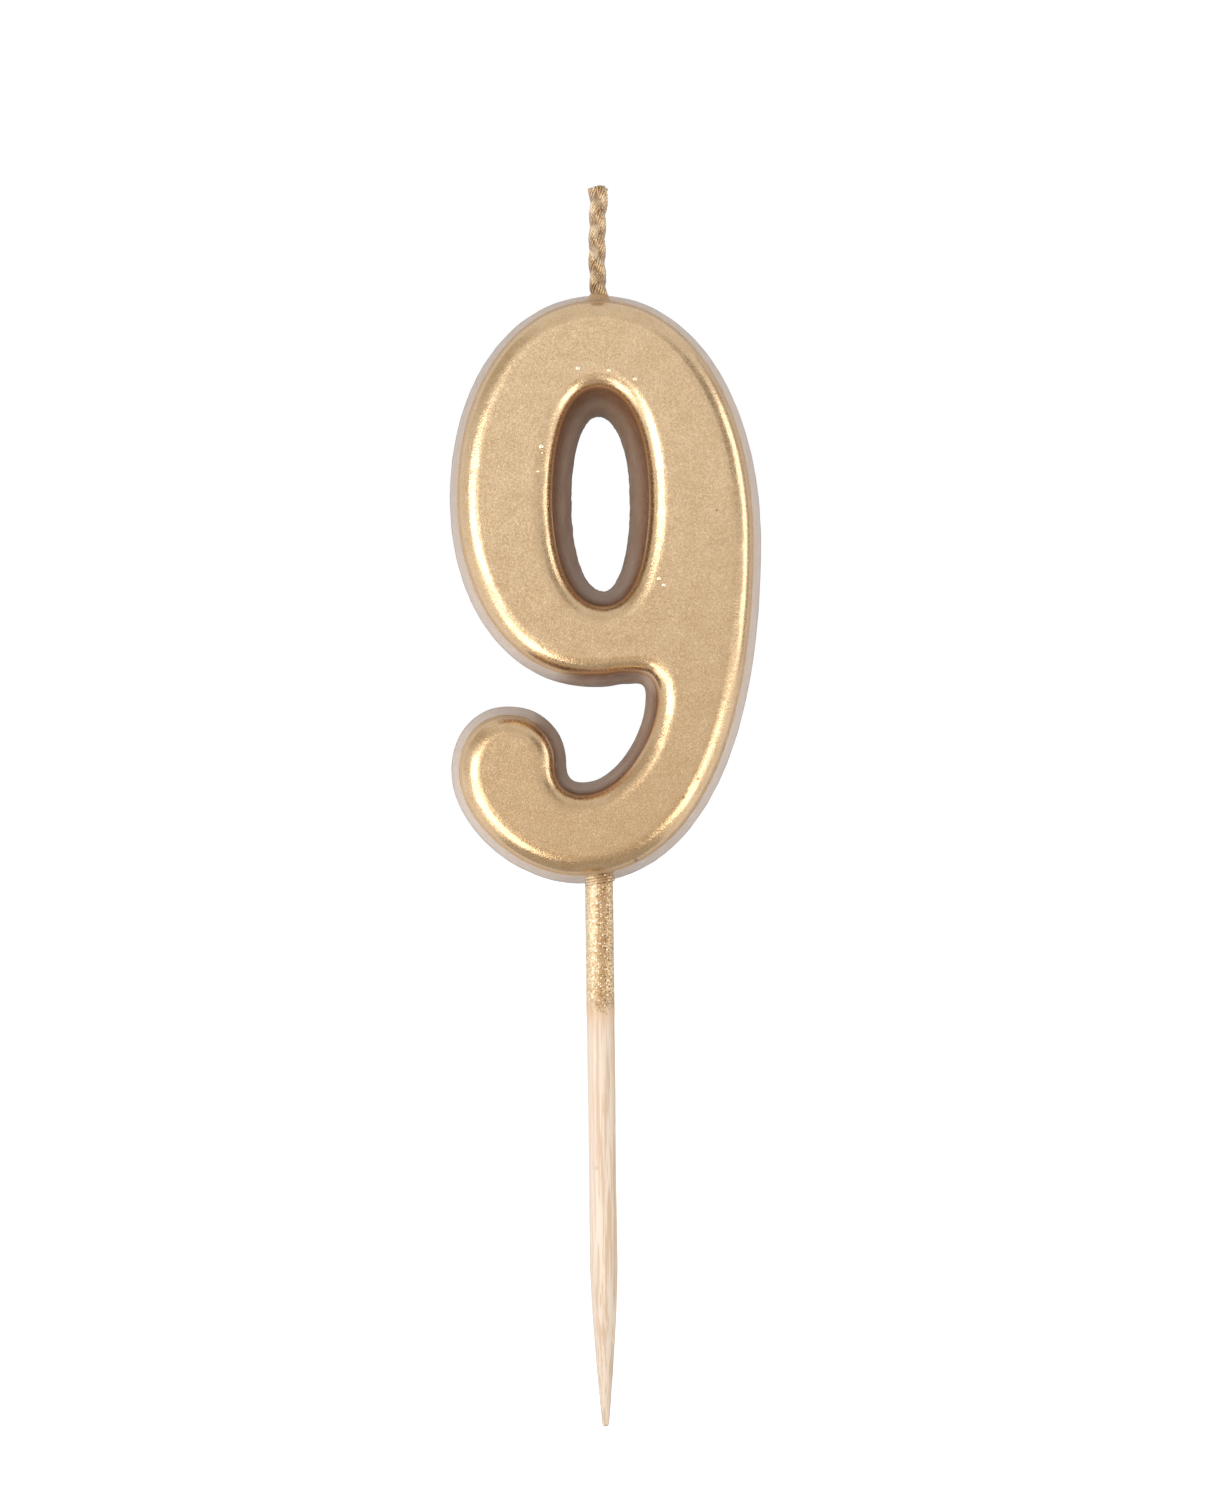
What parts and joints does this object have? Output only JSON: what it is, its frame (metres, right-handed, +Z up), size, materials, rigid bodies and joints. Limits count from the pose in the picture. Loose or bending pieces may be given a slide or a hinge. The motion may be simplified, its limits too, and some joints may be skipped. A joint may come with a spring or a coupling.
{
  "type": "number candle",
  "caption": "Wax candle in the shape of a nine with a gold lacquered face, a plaited wick at the crown and a pointed wooden pick in the foot.",
  "frame": {"origin": "on the pick's axis, level with the lowest point of the nine's foot", "axes": "+Z up along the nine, -Y out of the gold face, +X to the right as seen from the front"},
  "size_m": [0.029, 0.0087, 0.1152],
  "materials": {
    "wax": "unpainted translucent mauve grey wax, satin",
    "gold_lacquer": "fine metallic champagne gold lacquer, satin, sprayed from the front",
    "cotton": "plaited cotton stiffened with wax and dusted with gold",
    "birch": "bare pale birch, straight grain",
    "gold_overspray": "mottled gold overspray on wood"
  },
  "bodies": {
    "root": {"wax_numeral": "wax", "gold_face_lacquer": "gold_lacquer", "wick": "cotton", "wooden_pick": "birch", "pick_gold_lacquer": "gold_overspray"}
  },
  "joints": []
}
